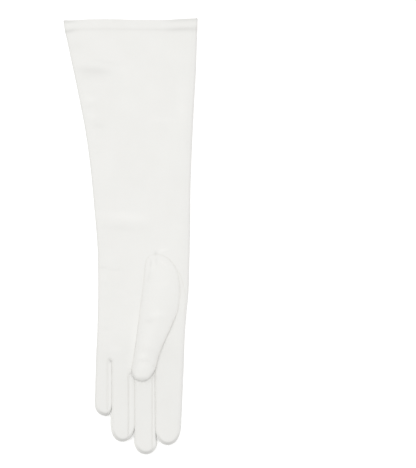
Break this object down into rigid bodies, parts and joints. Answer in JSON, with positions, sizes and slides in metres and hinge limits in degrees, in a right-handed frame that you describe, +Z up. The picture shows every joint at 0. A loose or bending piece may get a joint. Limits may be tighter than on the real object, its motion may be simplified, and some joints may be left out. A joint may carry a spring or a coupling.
{
  "type": "elbow-length leather glove",
  "caption": "Elbow-length white leather dress glove for the left hand, lying palm up, with a flared sleeve, a turned hem, side strips between the fingers and a set-in thumb.",
  "frame": {"origin": "middle of the glove's footprint, on the surface that its back lies on", "axes": "+Z up out of the palm, +Y along the glove towards the mouth of the sleeve, +X towards the index finger"},
  "size_m": [0.1324, 0.43, 0.0198],
  "materials": {
    "leather": "smooth white glove leather, soft satin"
  },
  "bodies": {
    "root": {"trank": "leather", "thumb": "leather", "cuff_hem": "leather", "fourchette_ring_little": "leather", "fourchette_middle_ring": "leather", "fourchette_index_middle": "leather"}
  },
  "joints": []
}
